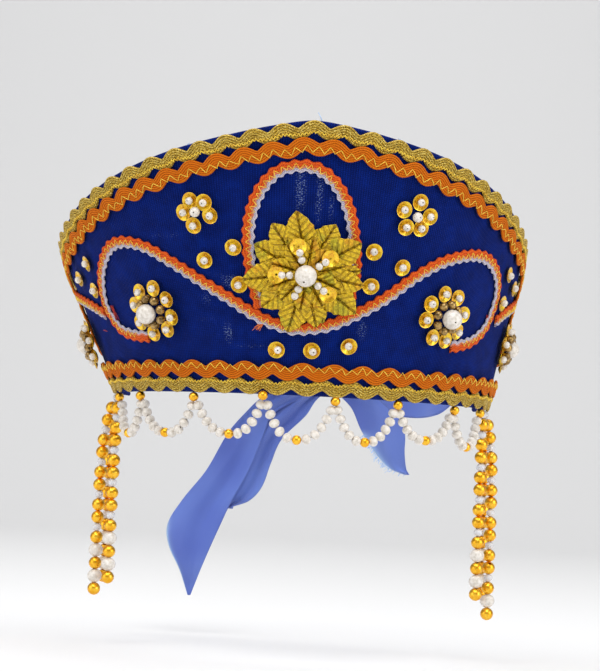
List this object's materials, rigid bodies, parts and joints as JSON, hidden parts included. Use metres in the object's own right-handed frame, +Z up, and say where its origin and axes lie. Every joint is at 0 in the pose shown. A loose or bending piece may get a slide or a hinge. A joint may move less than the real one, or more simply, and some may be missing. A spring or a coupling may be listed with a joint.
{
  "type": "kokoshnik headdress",
  "caption": "Stiff flared cloth headdress with wavy trims, a leaf flower, sequin rosettes, pearl swags, bead strands at the temples and ribbon ties behind.",
  "frame": {"origin": "centre of the open rim that the head goes into, in the plane of the band's lower edge", "axes": "+Z up, the decorated front faces -Y, +X to the right as seen from the front"},
  "size_m": [0.2093, 0.2139, 0.2028],
  "materials": {
    "blue_cloth": "matte, ribbed stretch cloth over a stiff band",
    "orange_trim": "wavy woven tape with yellow zigzag stitches",
    "gold_trim": "wavy metallised tape with yellow zigzag stitches",
    "braid": "narrow braid, orange red on one side and white on the other",
    "gold_leaf": "pressed metallised cloth leaves",
    "sequin": "gold cup sequins",
    "pearl": "imitation pearl",
    "gold_bead": "metallised gold bead",
    "bronze_bead": "dark metallised glass bead",
    "ribbon": "satin ribbon"
  },
  "bodies": {
    "root": {"crown_band": "blue_cloth", "crest_trim_gold": "gold_trim", "crest_trim_orange": "orange_trim", "rim_trim_gold": "gold_trim", "rim_trim_orange": "orange_trim", "scroll_braid": "braid", "loop_braid": "braid", "side_braid_left": "braid", "side_braid_right": "braid", "stud_upper_left": "sequin", "stud_outer_left": "sequin", "stud_lower_left": "sequin", "stud_upper_right": "sequin", "stud_outer_right": "sequin", "stud_lower_right": "sequin", "stud_rim_left": "sequin", "stud_rim_middle": "sequin", "stud_rim_right": "sequin", "stud_side_left_top": "sequin", "stud_side_left_middle": "sequin", "stud_side_left_low": "sequin", "stud_side_right_top": "sequin", "stud_side_right_middle": "sequin", "stud_side_right_low": "sequin", "blossom_left": "sequin", "blossom_right": "sequin", "rosette_left": "sequin", "rosette_right": "sequin", "side_rosette_left": "sequin", "side_rosette_right": "sequin", "leaf_flower": "gold_leaf", "flower_pearl": "pearl", "spray_top": "pearl", "spray_right": "pearl", "spray_low_right": "pearl", "spray_low_left": "pearl", "spray_left": "pearl", "swag_string": "pearl", "strand_left_front": "gold_bead", "strand_left_outer": "gold_bead", "strand_left_back": "gold_bead", "strand_right_front": "gold_bead", "strand_right_outer": "gold_bead", "strand_right_back": "gold_bead", "ribbon_tie_left": "ribbon", "ribbon_tie_right": "ribbon", "ribbon_knot": "ribbon", "ribbon_tail_long": "ribbon", "ribbon_bow_loop": "ribbon", "ribbon_tail_short": "ribbon"}
  },
  "joints": []
}
